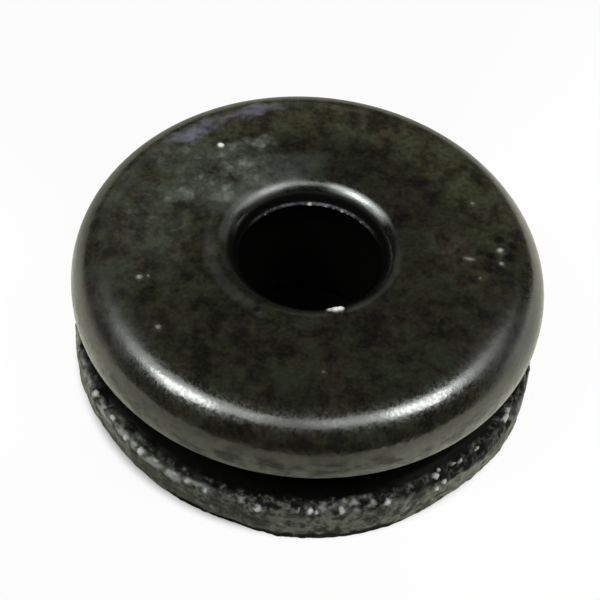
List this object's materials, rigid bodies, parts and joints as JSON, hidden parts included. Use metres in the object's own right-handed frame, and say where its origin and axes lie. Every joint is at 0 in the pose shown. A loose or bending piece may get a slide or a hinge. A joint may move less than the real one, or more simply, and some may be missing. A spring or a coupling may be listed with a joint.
{
  "type": "rubber grommet",
  "caption": "Round black rubber grommet with a smooth domed-shoulder flange, a groove that grips the edge of a panel hole, a rougher lower flange and a central bore for a cable.",
  "frame": {"origin": "centre of the bottom face of the lower flange, on the bore's axis", "axes": "+Z along the bore's axis, from the lower flange towards the smooth upper flange"},
  "size_m": [0.0192, 0.0192, 0.0064],
  "materials": {
    "black_rubber": "semi-gloss moulded skin, dull and torn on the lower flange's side"
  },
  "bodies": {
    "root": {"grommet": "black_rubber"}
  },
  "joints": []
}
